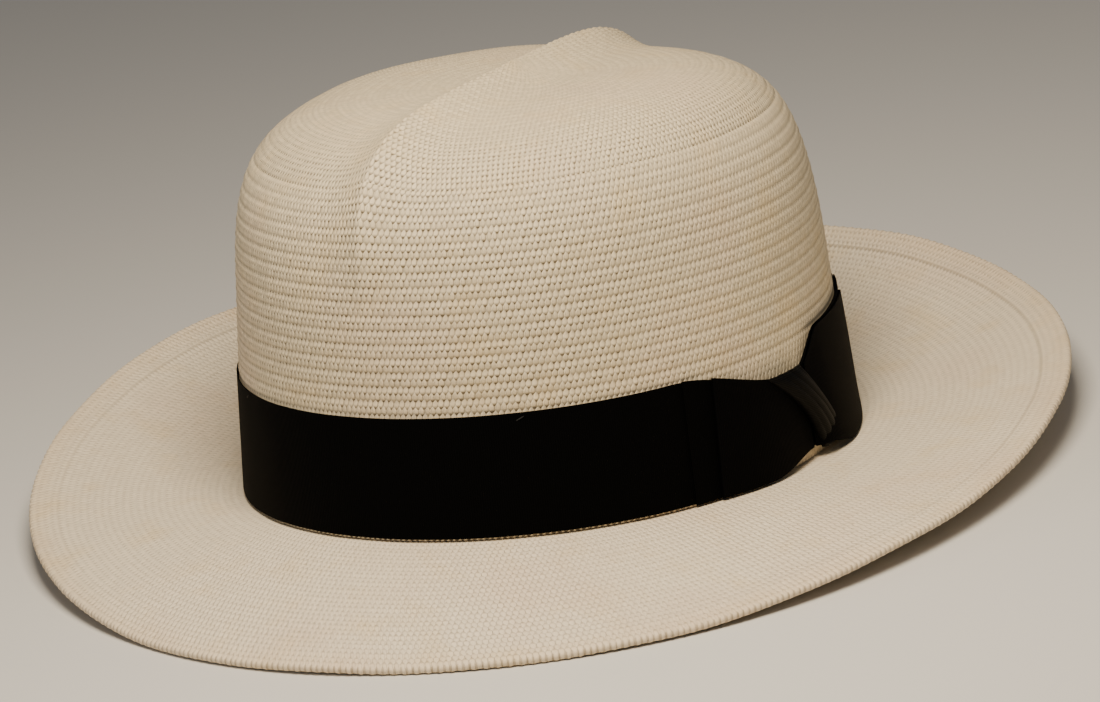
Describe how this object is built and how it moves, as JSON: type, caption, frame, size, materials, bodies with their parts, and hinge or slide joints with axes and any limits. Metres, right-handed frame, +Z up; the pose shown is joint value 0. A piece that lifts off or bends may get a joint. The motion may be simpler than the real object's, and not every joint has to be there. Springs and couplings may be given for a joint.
{
  "type": "panama hat",
  "caption": "Woven straw hat with a full round crown ridged from front to back, a wide brim, a black ribbon band with a flat side bow and a leather sweatband.",
  "frame": {"origin": "on the table under the middle of the hat, as it stands: the middle of the bottom of its bounding box", "axes": "+Z up; the hat's front is at -Y and its back at +Y; the wearer's left, with the bow, is at +X"},
  "size_m": [0.3022, 0.3274, 0.1236],
  "materials": {
    "straw": "natural woven toquilla straw, cream, matt",
    "ribbon": "black grosgrain ribbon with fine cross ribs",
    "leather": "tan sheepskin, fine grain, satin",
    "pale_thread": "cotton sewing thread",
    "dark_thread": "black cotton sewing thread",
    "reed": "round sweatband reed",
    "cloth": "plain off-white woven tape"
  },
  "bodies": {
    "root": {"straw_crown": "straw", "straw_brim": "straw", "brim_edge_thread": "pale_thread", "hat_band": "ribbon", "bow_underlay": "ribbon", "bow_front_loop": "ribbon", "bow_rear_loop": "ribbon", "bow_knot": "ribbon", "band_tack_1": "dark_thread", "band_tack_2": "dark_thread", "band_tack_3": "dark_thread", "band_tack_4": "dark_thread", "sweatband": "leather", "sweatband_reed": "reed", "sweatband_thread": "pale_thread", "sweatband_seam_tape": "cloth", "sweatband_bow": "ribbon", "size_tab": "cloth"}
  },
  "joints": []
}
